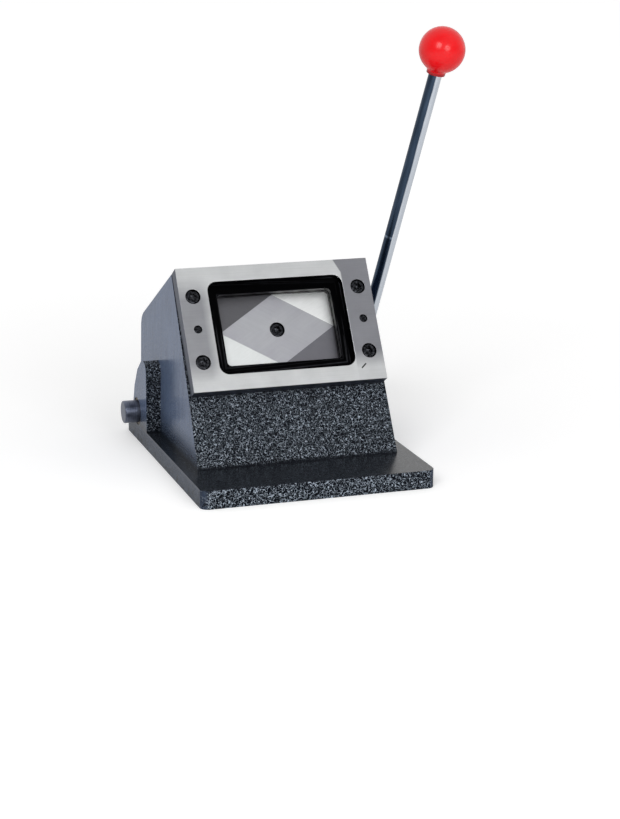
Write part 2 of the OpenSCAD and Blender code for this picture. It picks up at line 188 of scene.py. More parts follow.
def hammertone_enamel():
    """Stoved hammertone enamel, sprayed on a sand casting. Aluminium flake gathers
    in broken wormy ridges about 0.6 mm wide and 1.5 mm apart, so the noise has 0.75
    waves to the millimetre. The varnish between them is nearly black."""
    finish, tree = new_finish("hammertone_enamel")
    at = millimetres(tree)
    drift = add(tree, "TexNoise", {"Vector": at, "Scale": 0.35, "Detail": 1.0})
    drift = add(
        tree,
        "VectorMath",
        {0: drift.outputs["Color"], 1: (0.5, 0.5, 0.5)},
        operation="SUBTRACT",
    )
    pushed = add(
        tree,
        "VectorMath",
        {0: drift, 1: (2.0, 2.0, 2.0), 2: at},
        operation="MULTIPLY_ADD",
    )
    level = add(
        tree,
        "TexNoise",
        {"Vector": pushed, "Scale": 0.75, "Detail": 0.5, "Roughness": 0.4},
    )
    away = add(tree, "Math", {0: level, 1: 0.5}, operation="SUBTRACT")
    away = add(tree, "Math", {0: away}, operation="ABSOLUTE")
    ridge = add(tree, "MapRange", {"Value": away, 1: 0.055, 2: 0.0, 3: 0.0, 4: 1.0})
    gaps = add(tree, "TexNoise", {"Vector": at, "Scale": 0.5, "Detail": 2.0})
    gaps = add(tree, "MapRange", {"Value": gaps, 1: 0.36, 2: 0.62, 3: 0.15, 4: 1.0})
    ridge = add(tree, "Math", {0: ridge, 1: gaps}, operation="MULTIPLY")

    # the ridges are quieter on the upright sides
    parts = add(tree, "SeparateXYZ", {0: at})
    facing = add(tree, "SeparateXYZ", {0: add(tree, "TexCoord").outputs["Normal"]})
    side = add(tree, "Math", {0: facing.outputs["X"]}, operation="ABSOLUTE")
    side = add(tree, "MapRange", {"Value": side, 1: 0.15, 2: 0.55, 3: 1.0, 4: 0.2})
    relief = add(tree, "MapRange", {"Value": side, 1: 0.2, 2: 1.0, 3: 0.6, 4: 1.0})
    relief = add(tree, "Math", {0: ridge, 1: relief}, operation="MULTIPLY")
    # on the base's top the flake is painted down, a painted dark reflection of the
    # housing, and in the crease above it fades in, painted shade; on the base's own edge
    # it is raised, painting that face brighter
    above = add(
        tree,
        "MapRange",
        {
            "Value": parts.outputs["Z"],
            1: BASE_TOP + 0.3,
            2: BASE_TOP + 2.3,
            3: 0.0,
            4: 1.0,
        },
    )
    under = add(
        tree,
        "MapRange",
        {"Value": parts.outputs["Z"], 1: BASE_TOP - 0.2, 2: BASE_TOP, 3: 1.6, 4: 0.08},
    )
    painted_shade_flake_share = add(tree, "Math", {0: above, 1: under}, operation="MAXIMUM")
    top = add(
        tree,
        "MapRange",
        {"Value": facing.outputs["Z"], 1: 0.9, 2: 0.99, 3: 0.0, 4: 1.0},
    )
    painted_shade_flake_share = add(tree, "Math", {0: top, 1: 0.1, 2: painted_shade_flake_share}, operation="MULTIPLY_ADD")
    flake = add(tree, "Math", {0: ridge, 1: painted_shade_flake_share}, operation="MULTIPLY")
    flake = add(tree, "Math", {0: flake, 1: side}, operation="MULTIPLY")

    cloud = add(tree, "TexNoise", {"Vector": at, "Scale": 0.04, "Detail": 3.0})
    varnish = add(
        tree,
        "Mix",
        {0: cloud, 6: paint("#04060a"), 7: paint("#0c1119")},
        data_type="RGBA",
    )
    # the upright sides are painted lighter with a blue-grey veil in runs down them, a
    # painted reflection; it is painted fainter towards the base and on the base's own
    # edge, painted shade, and below 9 mm random dark patches break it
    runs = add(tree, "Mapping", {"Vector": at, "Scale": (0.4, 0.4, 0.04)})
    runs = add(tree, "TexNoise", {"Vector": runs, "Scale": 1.0, "Detail": 4.0})
    grain = add(tree, "TexNoise", {"Vector": at, "Scale": 0.9, "Detail": 1.0})
    runs = add(tree, "Math", {0: runs, 1: grain}, operation="ADD")
    runs = add(tree, "MapRange", {"Value": runs, 1: 0.7, 2: 1.3, 3: 0.36, 4: 0.62})
    painted_side_reflection = add(tree, "MapRange", {"Value": side, 1: 1.0, 2: 0.2, 3: 0.0, 4: 0.9})
    painted_side_reflection = add(tree, "Math", {0: painted_side_reflection, 1: runs}, operation="MULTIPLY")
    foot = add(
        tree,
        "MapRange",
        {"Value": parts.outputs["Z"], 1: BASE_TOP + 0.2, 2: 34.0, 3: 0.14, 4: 1.0},
    )
    plinth = add(
        tree,
        "MapRange",
        {"Value": parts.outputs["Z"], 1: BASE_TOP - 0.4, 2: BASE_TOP, 3: 0.26, 4: 0.0},
    )
    foot = add(tree, "Math", {0: foot, 1: plinth}, operation="MAXIMUM")
    painted_side_reflection = add(tree, "Math", {0: painted_side_reflection, 1: foot}, operation="MULTIPLY")
    low_dark_patches = add(tree, "TexNoise", {"Vector": at, "Scale": 0.22, "Detail": 2.0})
    low_dark_patches = add(tree, "MapRange", {"Value": low_dark_patches, 1: 0.55, 2: 0.59, 3: 0.0, 4: 1.0})
    low = add(
        tree, "MapRange", {"Value": parts.outputs["Z"], 1: 3.0, 2: 9.0, 3: 1.0, 4: 0.0}
    )
    low_dark_patches = add(tree, "Math", {0: low_dark_patches, 1: low}, operation="MULTIPLY")
    whole = add(tree, "Math", {0: 1.0, 1: low_dark_patches}, operation="SUBTRACT")
    painted_side_reflection = add(tree, "Math", {0: painted_side_reflection, 1: whole}, operation="MULTIPLY")
    varnish = add(
        tree, "Mix", {0: painted_side_reflection, 6: varnish, 7: paint("#7b8fb4")}, data_type="RGBA"
    )
    colour = add(
        tree, "Mix", {0: flake, 6: varnish, 7: paint("#b3bfcd")}, data_type="RGBA"
    )
    metal = add(tree, "Math", {0: painted_side_reflection, 1: 0.5}, operation="MULTIPLY")
    blur = add(tree, "MapRange", {"Value": top, 1: 0.0, 2: 1.0, 3: 0.42, 4: 0.12})
    gloss = add(
        tree,
        "MapRange",
        {"Value": parts.outputs["Z"], 1: 11.0, 2: BASE_TOP - 0.1, 3: 0.04, 4: 0.08},
    )
    gloss = add(tree, "Math", {0: top, 1: 0.2, 2: gloss}, operation="MULTIPLY_ADD")
    lay_on(
        tree,
        {
            "Base Color": colour,
            "Metallic": add(
                tree, "Math", {0: flake, 1: 0.7, 2: metal}, operation="MULTIPLY_ADD"
            ),
            "Roughness": add(
                tree, "MapRange", {"Value": flake, 1: 0.0, 2: 1.0, 3: 0.2, 4: blur}
            ),
            "Specular IOR Level": gloss,
            "Normal": add(
                tree, "Bump", {"Strength": 0.5, "Distance": 0.08 * MM, "Height": relief}
            ),
        },
    )
    return finish


def ground_plate_steel():
    """Surface-ground tool steel. The wheel's lines run along the plate; real ones
    are 0.05 mm apart, and these are drawn at 0.4 mm so that they show. The left
    screw column and a patch on the right above the window are painted darker: a painted
    dark reflection."""
    finish, tree = new_finish("ground_plate_steel")
    at = millimetres(tree, PLATE)
    lines = add(
        tree,
        "TexNoise",
        {
            "Vector": add(tree, "Mapping", {"Vector": at, "Scale": (0.02, 2.5, 2.5)}),
            "Scale": 1.0,
            "Detail": 3.0,
            "Roughness": 0.6,
        },
    )
    cloud = add(
        tree,
        "TexNoise",
        {"Vector": at, "Scale": 0.05, "Detail": 3.0, "Roughness": 0.55},
    )
    parts = add(tree, "SeparateXYZ", {0: at})
    x, y = parts.outputs["X"], parts.outputs["Y"]
    # the left screw column is painted darker: a painted dark reflection
    left = add(tree, "MapRange", {"Value": x, 1: -48.0, 2: -57.0, 3: 0.0, 4: 0.85})
    left_column_span = soft_band(tree, y, -40, -26, 22, 40)
    left = add(tree, "Math", {0: left, 1: left_column_span}, operation="MULTIPLY")
    # on the right the painted dark reflection ends on a slanting line above the window
    slant = add(tree, "Math", {0: y, 1: 36.5}, operation="SUBTRACT")
    slant = add(tree, "Math", {0: slant, 1: 0.0}, operation="MAXIMUM")
    slant = add(tree, "Math", {0: slant, 1: 0.457, 2: x}, operation="MULTIPLY_ADD")
    right = add(tree, "MapRange", {"Value": slant, 1: 50.8, 2: 51.6, 3: 0.0, 4: 1.0})
    low = add(tree, "MapRange", {"Value": y, 1: -38.0, 2: -24.0, 3: 0.1, 4: 1.0})
    right = add(tree, "Math", {0: right, 1: low}, operation="MULTIPLY")
    painted_dark_reflection = add(tree, "Math", {0: left, 1: right}, operation="MAXIMUM")
    tone = add(
        tree,
        "Mix",
        {0: painted_dark_reflection, 6: paint("#dadcdd"), 7: paint("#929399")},
        data_type="RGBA",
    )
    # one dark scratch 5.5 mm long beside the lower right screw
    nick = add(
        tree,
        "Mapping",
        {
            "Vector": at,
            "Location": (56.3, -36.1, 0),
            "Rotation": (0, 0, math.radians(41.6)),
        },
        vector_type="TEXTURE",
    )
    nick = add(tree, "SeparateXYZ", {0: nick})
    lies_along = add(tree, "Math", {0: nick.outputs["X"]}, operation="ABSOLUTE")
    lies_along = add(
        tree, "MapRange", {"Value": lies_along, 1: 2.8, 2: 2.2, 3: 0.0, 4: 1.0}
    )
    lies_beside = add(tree, "Math", {0: nick.outputs["Y"]}, operation="ABSOLUTE")
    lies_beside = add(
        tree, "MapRange", {"Value": lies_beside, 1: 0.6, 2: 0.35, 3: 0.0, 4: 1.0}
    )
    nick = add(tree, "Math", {0: lies_along, 1: lies_beside}, operation="MULTIPLY")
    tone = add(tree, "Mix", {0: nick, 6: tone, 7: paint("#16161a")}, data_type="RGBA")
    mottle = add(tree, "MapRange", {"Value": cloud, 1: 0.3, 2: 0.7, 3: 0.9, 4: 1.04})
    streak = add(tree, "MapRange", {"Value": lines, 1: 0.3, 2: 0.7, 3: 0.93, 4: 1.03})
    shade = add(tree, "Math", {0: mottle, 1: streak}, operation="MULTIPLY")
    colour = add(tree, "VectorMath", {0: tone, "Scale": shade}, operation="SCALE")
    lay_on(
        tree,
        {
            "Base Color": colour,
            "Metallic": 1.0,
            "Roughness": add(
                tree, "MapRange", {"Value": lines, 1: 0.2, 2: 0.8, 3: 0.26, 4: 0.38}
            ),
            "Normal": add(
                tree, "Bump", {"Strength": 0.4, "Distance": 0.01 * MM, "Height": lines}
            ),
        },
    )
    return finish


def milled_plate_edge():
    """Milled edges of the plate: cutter marks 0.6 mm apart, in a dark blue-grey that is
    partly painted shade of the plate's sides and underside.
    """
    finish, tree = new_finish("milled_plate_edge")
    at = millimetres(tree, PLATE)
    marks = add(
        tree,
        "TexNoise",
        {
            "Vector": add(tree, "Mapping", {"Vector": at, "Scale": (1.6, 1.6, 0.1)}),
            "Scale": 1.0,
            "Detail": 2.0,
        },
    )
    colour = add(
        tree,
        "Mix",
        {0: marks, 6: paint("#2c313d"), 7: paint("#565d6e")},
        data_type="RGBA",
    )
    lay_on(
        tree,
        {
            "Base Color": colour,
            "Metallic": 1.0,
            "Roughness": add(
                tree, "MapRange", {"Value": marks, 1: 0.2, 2: 0.8, 3: 0.34, 4: 0.48}
            ),
            "Normal": add(
                tree, "Bump", {"Strength": 0.4, "Distance": 0.02 * MM, "Height": marks}
            ),
        },
    )
    return finish


def near_black_window_steel():
    """Near-black steel of the window's walls and floor and of the screw seats. The
    cutter that sank it left steps round the opening, about 2 mm apart, bumped in, whose
    highlights are painted as lighter lines."""
    finish, tree = new_finish("near_black_window_steel")
    at = millimetres(tree, PLATE)
    parts = add(tree, "SeparateXYZ", {0: at})
    beside = add(tree, "Math", {0: parts.outputs["X"]}, operation="ABSOLUTE")
    beside = add(tree, "Math", {0: beside, 1: CARD_W / 2}, operation="SUBTRACT")
    above = add(tree, "Math", {0: parts.outputs["Y"]}, operation="ABSOLUTE")
    above = add(tree, "Math", {0: above, 1: CARD_H / 2}, operation="SUBTRACT")
    out = add(tree, "Math", {0: beside, 1: above}, operation="MAXIMUM")
    spread = add(tree, "VectorMath", {0: at, "Scale": 0.02}, operation="SCALE")
    steps = add(
        tree,
        "VectorMath",
        {0: add(tree, "CombineXYZ", {0: out}), 1: (0.55, 0.55, 0.55), 2: spread},
        operation="MULTIPLY_ADD",
    )
    steps = add(tree, "TexNoise", {"Vector": steps, "Scale": 1.0, "Detail": 2.0})
    smear = add(tree, "TexNoise", {"Vector": at, "Scale": 0.12, "Detail": 3.0})
    # painted highlight: the steps are painted lighter where the smear allows
    painted_step_highlight = add(tree, "MapRange", {"Value": steps, 1: 0.58, 2: 0.66, 3: 0.0, 4: 1.0})
    painted_step_highlight = add(tree, "Math", {0: painted_step_highlight, 1: smear}, operation="MULTIPLY")
    colour = add(
        tree,
        "Mix",
        {0: painted_step_highlight, 6: paint("#050506"), 7: paint("#3c3d41")},
        data_type="RGBA",
    )
    lay_on(
        tree,
        {
            "Base Color": colour,
            "Metallic": 1.0,
            "Roughness": add(
                tree, "MapRange", {"Value": smear, 1: 0.3, 2: 0.7, 3: 0.3, 4: 0.5}
            ),
            "Normal": add(
                tree, "Bump", {"Strength": 0.3, "Distance": 0.05 * MM, "Height": steps}
            ),
        },
    )
    return finish


def ground_punch_steel():
    """Hardened punch, with grinding lines as on the plate. Its flat diamond and its
    four sloping corners are painted in different tones: a painted reflection, two corners
    pale and two dark, the right ones a little lighter."""
    finish, tree = new_finish("ground_punch_steel")
    at = millimetres(tree, PLATE)
    parts = add(tree, "SeparateXYZ", {0: at})
    across = add(tree, "Math", {0: parts.outputs["X"]}, operation="ABSOLUTE")
    across = add(tree, "Math", {0: across, 1: CARD_W / 2}, operation="DIVIDE")
    up = add(tree, "Math", {0: parts.outputs["Y"]}, operation="ABSOLUTE")
    up = add(tree, "Math", {0: up, 1: CARD_H / 2}, operation="DIVIDE")
    corner = add(tree, "Math", {0: across, 1: up}, operation="ADD")
    corner = add(tree, "Math", {0: corner, 1: 1.0}, operation="GREATER_THAN")
    pair = add(
        tree,
        "Math",
        {0: parts.outputs["X"], 1: parts.outputs["Y"]},
        operation="MULTIPLY",
    )
    pair = add(tree, "Math", {0: pair, 1: 0.0}, operation="GREATER_THAN")
    rising = add(tree, "Mapping", {"Vector": at, "Rotation": (0, 0, math.radians(32))})
    rising = add(tree, "Mapping", {"Vector": rising, "Scale": (0.02, 2.2, 2.2)})
    falling = add(
        tree, "Mapping", {"Vector": at, "Rotation": (0, 0, math.radians(-32))}
    )
    falling = add(tree, "Mapping", {"Vector": falling, "Scale": (0.02, 2.2, 2.2)})
    lines = add(
        tree,
        "TexNoise",
        {
            "Vector": add(
                tree, "Mix", {0: pair, 4: rising, 5: falling}, data_type="VECTOR"
            ),
            "Scale": 1.0,
            "Detail": 3.0,
        },
    )
    cloud = add(
        tree,
        "TexNoise",
        {"Vector": at, "Scale": 0.045, "Detail": 4.0, "Roughness": 0.6},
    )
    right = add(tree, "Math", {0: parts.outputs["X"], 1: 0.0}, operation="GREATER_THAN")
    # the corners' tones are a painted reflection: a dark pair and a pale pair
    dark = add(
        tree,
        "Mix",
        {0: right, 6: paint("#66666a"), 7: paint("#707076")},
        data_type="RGBA",
    )
    painted_bright_reflection = add(
        tree,
        "Mix",
        {0: right, 6: paint("#cfd2d2"), 7: paint("#f2f4f4")},
        data_type="RGBA",
    )
    painted_facet_reflection = add(tree, "Mix", {0: pair, 6: dark, 7: painted_bright_reflection}, data_type="RGBA")
    diamond = add(
        tree,
        "Mix",
        {0: cloud, 6: paint("#a9a8b1"), 7: paint("#b0b3b5")},
        data_type="RGBA",
    )
    tone = add(tree, "Mix", {0: corner, 6: diamond, 7: painted_facet_reflection}, data_type="RGBA")
    # the middle screw's counterbore is painted near black: painted shade in the recess
    reach = add(
        tree,
        "VectorMath",
        {0: add(tree, "CombineXYZ", {0: parts.outputs["X"], 1: parts.outputs["Y"]})},
        operation="LENGTH",
    )
    painted_seat_shade = add(
        tree, "Math", {0: reach.outputs["Value"], 1: SEAT_R}, operation="LESS_THAN"
    )
    tone = add(tree, "Mix", {0: painted_seat_shade, 6: tone, 7: paint("#17171a")}, data_type="RGBA")
    streak = add(tree, "MapRange", {"Value": lines, 1: 0.3, 2: 0.7, 3: 0.94, 4: 1.03})
    mottle = add(tree, "MapRange", {"Value": cloud, 1: 0.3, 2: 0.7, 3: 0.95, 4: 1.02})
    shade = add(tree, "Math", {0: mottle, 1: streak}, operation="MULTIPLY")
    lay_on(
        tree,
        {
            "Base Color": add(
                tree, "VectorMath", {0: tone, "Scale": shade}, operation="SCALE"
            ),
            "Metallic": 1.0,
            "Roughness": add(
                tree, "MapRange", {"Value": lines, 1: 0.2, 2: 0.8, 3: 0.42, 4: 0.52}
            ),
            "Normal": add(
                tree, "Bump", {"Strength": 0.3, "Distance": 0.01 * MM, "Height": lines}
            ),
        },
    )
    return finish


def lever_bar_steel():
    """Cold-drawn bar. Dark and bright bands run the length of the lever, two of each
    round it: a painted reflection of a dark and a bright surround. Streaks of the
    drawing, some 30 mm long, break their edges."""
    finish, tree = new_finish("cold_drawn_bar_steel")
    skin = add(tree, "Attribute", attribute_name="skin")
    parts = add(tree, "SeparateXYZ", {0: skin.outputs["Vector"]})
    cos, sin, along = (parts.outputs[i] for i in "XYZ")
    # cosine of twice the angle from the middle of a painted bright reflection band
    middle = math.radians(2 * REFLECTION_BAND_AT)
    twice = add(tree, "Math", {0: cos, 1: cos}, operation="MULTIPLY")
    twice = add(tree, "Math", {0: twice, 1: 2.0, 2: -1.0}, operation="MULTIPLY_ADD")
    cross = add(tree, "Math", {0: cos, 1: sin}, operation="MULTIPLY")
    band = add(
        tree,
        "Math",
        {0: cross, 1: 2 * math.sin(middle), 2: 0.0},
        operation="MULTIPLY_ADD",
    )
    band = add(
        tree, "Math", {0: twice, 1: math.cos(middle), 2: band}, operation="MULTIPLY_ADD"
    )
    drawn = add(
        tree,
        "TexNoise",
        {
            "Vector": add(
                tree,
                "Mapping",
                {"Vector": skin.outputs["Vector"], "Scale": (3, 3, 0.03)},
            ),
            "Scale": 1.0,
            "Detail": 4.0,
            "Roughness": 0.65,
        },
    )
    blotch = add(
        tree,
        "TexNoise",
        {
            "Vector": add(
                tree,
                "Mapping",
                {"Vector": skin.outputs["Vector"], "Scale": (1, 1, 0.03)},
            ),
            "Scale": 1.3,
            "Detail": 2.0,
        },
    )
    wobble = add(tree, "Math", {0: drawn, 1: 0.5, 2: -0.25}, operation="MULTIPLY_ADD")
    band = add(tree, "Math", {0: band, 1: wobble}, operation="ADD")
    reflection_band_mask = add(tree, "MapRange", {"Value": band, 1: 0.12, 2: 0.34, 3: 0.0, 4: 1.0})
    # the dark band's colour is a painted dark reflection, blotched at random
    dark = add(
        tree,
        "Mix",
        {0: blotch, 6: paint("#121b26"), 7: paint("#46566b")},
        data_type="RGBA",
    )
    # a narrow rubbed ring below the middle
    ring = soft_band(
        tree, along, RUB_RING - 1.2, RUB_RING - 0.3, RUB_RING + 0.3, RUB_RING + 1.2
    )
    ring = add(tree, "Math", {0: ring, 1: 0.45}, operation="MULTIPLY")
    dark = add(tree, "Mix", {0: ring, 6: dark, 7: paint("#9fb0c4")}, data_type="RGBA")
    # the pale band's colour is a painted bright reflection, streaked by the drawing
    painted_bright_reflection = add(
        tree,
        "Mix",
        {0: drawn, 6: paint("#a9b2be"), 7: paint("#dde1e7")},
        data_type="RGBA",
    )
    lay_on(
        tree,
        {
            "Base Color": add(
                tree, "Mix", {0: reflection_band_mask, 6: dark, 7: painted_bright_reflection}, data_type="RGBA"
            ),
            "Metallic": 1.0,
            "Roughness": add(
                tree, "MapRange", {"Value": drawn, 1: 0.2, 2: 0.8, 3: 0.2, 4: 0.34}
            ),
            "Normal": add(
                tree, "Bump", {"Strength": 0.3, "Distance": 0.02 * MM, "Height": drawn}
            ),
        },
    )
    return finish


def red_phenolic():
    """Cast phenolic, tumbled to a gloss: clear warm red with faint orange peel
    about 2 mm across; its neck is painted darker red, painted shade under the ball."""
    finish, tree = new_finish("red_phenolic")
    at = millimetres(tree, PAST_BEND)
    cloud = add(tree, "TexNoise", {"Vector": at, "Scale": 0.07, "Detail": 2.0})
    height = add(tree, "SeparateXYZ", {0: at}).outputs["Z"]
    painted_neck_shade = add(
        tree,
        "MapRange",
        {"Value": height, 1: NECK_Z + 3, 2: NECK_Z + 1.5, 3: 0.0, 4: 0.8},
    )
    red = add(
        tree,
        "Mix",
        {0: cloud, 6: paint("#d4060f"), 7: paint("#e80d16")},
        data_type="RGBA",
    )
    peel = add(tree, "TexNoise", {"Vector": at, "Scale": 0.5, "Detail": 1.0})
    lay_on(
        tree,
        {
            "Base Color": add(
                tree, "Mix", {0: painted_neck_shade, 6: red, 7: paint("#7c0810")}, data_type="RGBA"
            ),
            "Roughness": add(
                tree, "MapRange", {"Value": peel, 1: 0.3, 2: 0.7, 3: 0.24, 4: 0.27}
            ),
            "Specular IOR Level": 0.34,
            "Normal": add(
                tree, "Bump", {"Strength": 0.04, "Distance": 0.02 * MM, "Height": peel}
            ),
        },
    )
    return finish


def turned_metal(name, dark, light, rough, place):
    """A turned or ground round part: rings 0.35 mm apart, the tool's feed, along
    its own axis, z of the place given, and a faint uneven film of oil."""
    finish, tree = new_finish(name)
    at = millimetres(tree, place)
    rings = add(
        tree,
        "TexNoise",
        {
            "Vector": add(
                tree, "Mapping", {"Vector": at, "Scale": (0.02, 0.02, 1 / TOOL_FEED)}
            ),
            "Scale": 1.0,
            "Detail": 2.0,
        },
    )
    film = add(
        tree, "TexNoise", {"Vector": at, "Scale": 0.15, "Detail": 4.0, "Roughness": 0.6}
    )
    tone = add(tree, "Math", {0: rings, 1: film}, operation="ADD")
    tone = add(tree, "MapRange", {"Value": tone, 1: 0.75, 2: 1.25, 3: 0.0, 4: 1.0})
    lay_on(
        tree,
        {
            "Base Color": add(
                tree,
                "Mix",
                {0: tone, 6: paint(dark), 7: paint(light)},
                data_type="RGBA",
            ),
            "Metallic": 1.0,
            "Roughness": add(
                tree,
                "MapRange",
                {"Value": film, 1: 0.3, 2: 0.7, 3: rough - 0.05, 4: rough + 0.1},
            ),
            "Normal": add(
                tree, "Bump", {"Strength": 0.4, "Distance": 0.01 * MM, "Height": rings}
            ),
        },
    )
    return finish


def coated_metal(name, dark, light, rough, speck):
    """A plated, blackened or blued part: a thin coat with cloudy colour, rubbed
    lighter in specks of the size given in millimetres; on the black screws the specks also
    stand for painted glints."""
    finish, tree = new_finish(name)
    at = millimetres(tree)
    cloud = add(
        tree,
        "TexNoise",
        {"Vector": at, "Scale": 1 / speck, "Detail": 4.0, "Roughness": 0.65},
    )
    grain = add(tree, "TexNoise", {"Vector": at, "Scale": 2.0, "Detail": 2.0})
    rub_and_glint = add(tree, "MapRange", {"Value": cloud, 1: 0.42, 2: 0.72, 3: 0.0, 4: 1.0})
    lay_on(
        tree,
        {
            "Base Color": add(
                tree, "Mix", {0: rub_and_glint, 6: paint(dark), 7: paint(light)}, data_type="RGBA"
            ),
            "Metallic": 1.0,
            "Roughness": add(
                tree,
                "MapRange",
                {"Value": cloud, 1: 0.3, 2: 0.7, 3: rough + 0.08, 4: rough - 0.04},
            ),
            "Normal": add(
                tree, "Bump", {"Strength": 0.3, "Distance": 0.01 * MM, "Height": grain}
            ),
        },
    )
    return finish


ENAMEL = hammertone_enamel()
PLATE_FACE = ground_plate_steel()
PLATE_EDGE = milled_plate_edge()
WINDOW = near_black_window_steel()
PUNCH = ground_punch_steel()
BAR = lever_bar_steel()
RED = red_phenolic()
BLACK_OXIDE = coated_metal("black_oxide_steel", "#08080a", "#54565c", 0.28, 1.2)
BLUED = coated_metal("blued_spring_steel", "#1d212b", "#3d4352", 0.34, 4.0)
ZINC = coated_metal("zinc_plated_steel", "#84898f", "#b4b8bb", 0.36, 12.0)
RAM_STEEL = turned_metal("ground_ram_steel", "#7c7f85", "#a3a5a9", 0.26, PLATE)
SHAFT_STEEL = turned_metal("turned_shaft_steel", "#474c5a", "#767c8c", 0.36, SHAFT_LINE)
BUSH_BRONZE = turned_metal("oiled_bush_bronze", "#2b2416", "#5c4b2b", 0.4, SHAFT_LINE)
RAM_BRONZE = turned_metal("oiled_ram_bronze", "#4a3a22", "#7f6638", 0.4, PLATE)
BRASS = turned_metal("turned_insert_brass", "#8f7436", "#c2a55e", 0.3, PAST_BEND)


# ---------------------------------------------------------------- shapes
SIDES = 72
BAR_SIDES, PIN_SIDES, WIRE_SIDES, WIRE_STEPS = 48, 48, 14, 200
LOOSE = 0.03  # how far a screw's thread stays inside its nominal radius


def put_in_order(bm):
    """Sorts edges and faces by their points, because the order that the operators
    leave them in changes from run to run."""
    bm.verts.index_update()
    count = len(bm.verts)

    def key(part):
        points = [v.index for v in part.verts]
        return min(points) * count + max(points)

    bm.edges.sort(key=key)
    bm.faces.sort(key=key)


def skin_over(bm, rings, sides=SIDES):
    """Skins a stack of rings: one circle, its edge extruded from ring to ring.
    A ring is a place, a radius in millimetres or a function of the angle, and
    optionally the length along the piece, kept with the angle for the finish."""
    layers = bm.verts.layers.float_vector
    skin = layers.get("skin") or layers.new("skin")
    first = bmesh.ops.create_circle(
        bm, segments=sides, radius=1.0, cap_ends=False
    )["verts"]
    angles = {v: math.atan2(v.co.y, v.co.x) for v in first}
    # each edge once, in an order that is the same in every run
    loop = list(dict.fromkeys(e for v in first for e in v.link_edges))
    for number, (place, radius, *length) in enumerate(rings):
        if number:
            grown = bmesh.ops.extrude_edge_only(bm, edges=loop)["geom"]
            fresh = {v for v in grown if isinstance(v, bmesh.types.BMVert)}
            edges = [e for e in grown if isinstance(e, bmesh.types.BMEdge)]
            loop = [e for e in edges if fresh.issuperset(e.verts)]
            # each fresh point takes the angle of the point that it grew from
            roots = [(e.other_vert(v), v) for v in fresh for e in v.link_edges]
            angles = {v: angles[root] for root, v in roots if root in angles}
        for v, angle in angles.items():
            reach = radius(angle) if callable(radius) else radius
            cos, sin = math.cos(angle), math.sin(angle)
            v.co = place @ (Vector((cos, sin, 0)) * reach * MM)
            v[skin] = (cos, sin, length[0] if length else 0.0)
        if number in (0, len(rings) - 1):
            bmesh.ops.contextual_create(bm, geom=loop)
    put_in_order(bm)


def hexagon(across_flats):
    """Radius of a hexagon with a corner at angle 0."""

    def radius(angle):
        return across_flats / 2 / math.cos(math.radians(math.degrees(angle) % 60 - 30))

    return radius


def knurl(radius, depth):
    """Radius that drops at every other side of the ring."""

    def at(angle):
        return radius - depth * (round(angle / (2 * math.pi) * SIDES) % 2)

    return at


def thread(crest, depth, pitch, z):
    """Radius of a right-handed thread at height z."""

    def at(angle):
        phase = (z / pitch - angle / (2 * math.pi)) % 1
        return crest - depth * abs(2 * phase - 1)

    return at


def threaded(place, start, end, diameter, pitch):
    """Rings of a thread from start down to end, with a lead-in at its end."""
    depth = 0.6 * pitch
    crest = diameter / 2 - LOOSE
    steps = round((start - end - 1) / (pitch / 4))
    rings = [(place @ shift(0, 0, start), crest - depth)]
    for i in range(steps + 1):
        z = start - 0.2 - i * pitch / 4
        rings.append((place @ shift(0, 0, z), thread(crest, depth, pitch, z)))
    rings.append((place @ shift(0, 0, end + 0.5), crest - depth))
    rings.append((place @ shift(0, 0, end), crest - depth - 0.5))
    return rings


def socket(place, across_flats, depth, rim):
    """Rings of a hexagon socket from its drilled floor up to its rim."""
    half = across_flats / 2
    return [
        (place @ shift(0, 0, -depth - 0.15 * across_flats), 0.1 * half),
        (place @ shift(0, 0, -depth), 0.9 * half),
        (place @ shift(0, 0, -depth), hexagon(across_flats)),
        (place @ shift(0, 0, -0.07 * across_flats), hexagon(across_flats)),
        (place, min(rim, half / math.cos(math.radians(30)) + 0.05)),
    ]


def cap_screw(bm, place, length, diameter=6, head=10, high=6, cut=0.14):
    """Socket cap screw whose head's top is at the place, knurled round its rim."""
    rim = head / 2
    rings = socket(place, across_flats=5, depth=high / 2, rim=rim - 1)
    for z, radius in (
        (0, rim - 0.55),
        (-0.08, rim - 0.3),
        (-0.3, rim - 0.08),
        (-0.55, rim),
        (-0.75, knurl(rim, cut)),
        (-high + 0.5, knurl(rim, cut)),
        (-high + 0.3, rim),
        (-high, rim - 0.25),
        (-high, diameter / 2),
    ):
        rings.append((place @ shift(0, 0, z), radius))
    rings += threaded(place, -high - 0.5, -high - length, diameter, pitch=1.0)
    skin_over(bm, rings)


def countersunk_screw(bm, place, end, diameter=5, head=9.7, high=2.5):
    """Countersunk socket screw whose head's top is at the place."""
    rings = socket(place, across_flats=3, depth=1.8, rim=head / 2 - 0.6)
    rings.append((place, head / 2 - 0.12))
    rings.append((place @ shift(0, 0, -0.12), head / 2 - 0.06))
    rings.append((place @ shift(0, 0, -high), diameter / 2 - LOOSE))
    rings += threaded(place, -high - 0.4, end, diameter, pitch=0.8)
    skin_over(bm, rings)


def grub_screw(bm, place, diameter, length, across_flats, pitch):
    """Headless socket screw whose outer end is at the place."""
    rings = socket(place, across_flats, depth=across_flats, rim=diameter / 2 - 0.7)
    rings += threaded(place, -0.02, -length, diameter, pitch)
    skin_over(bm, rings)


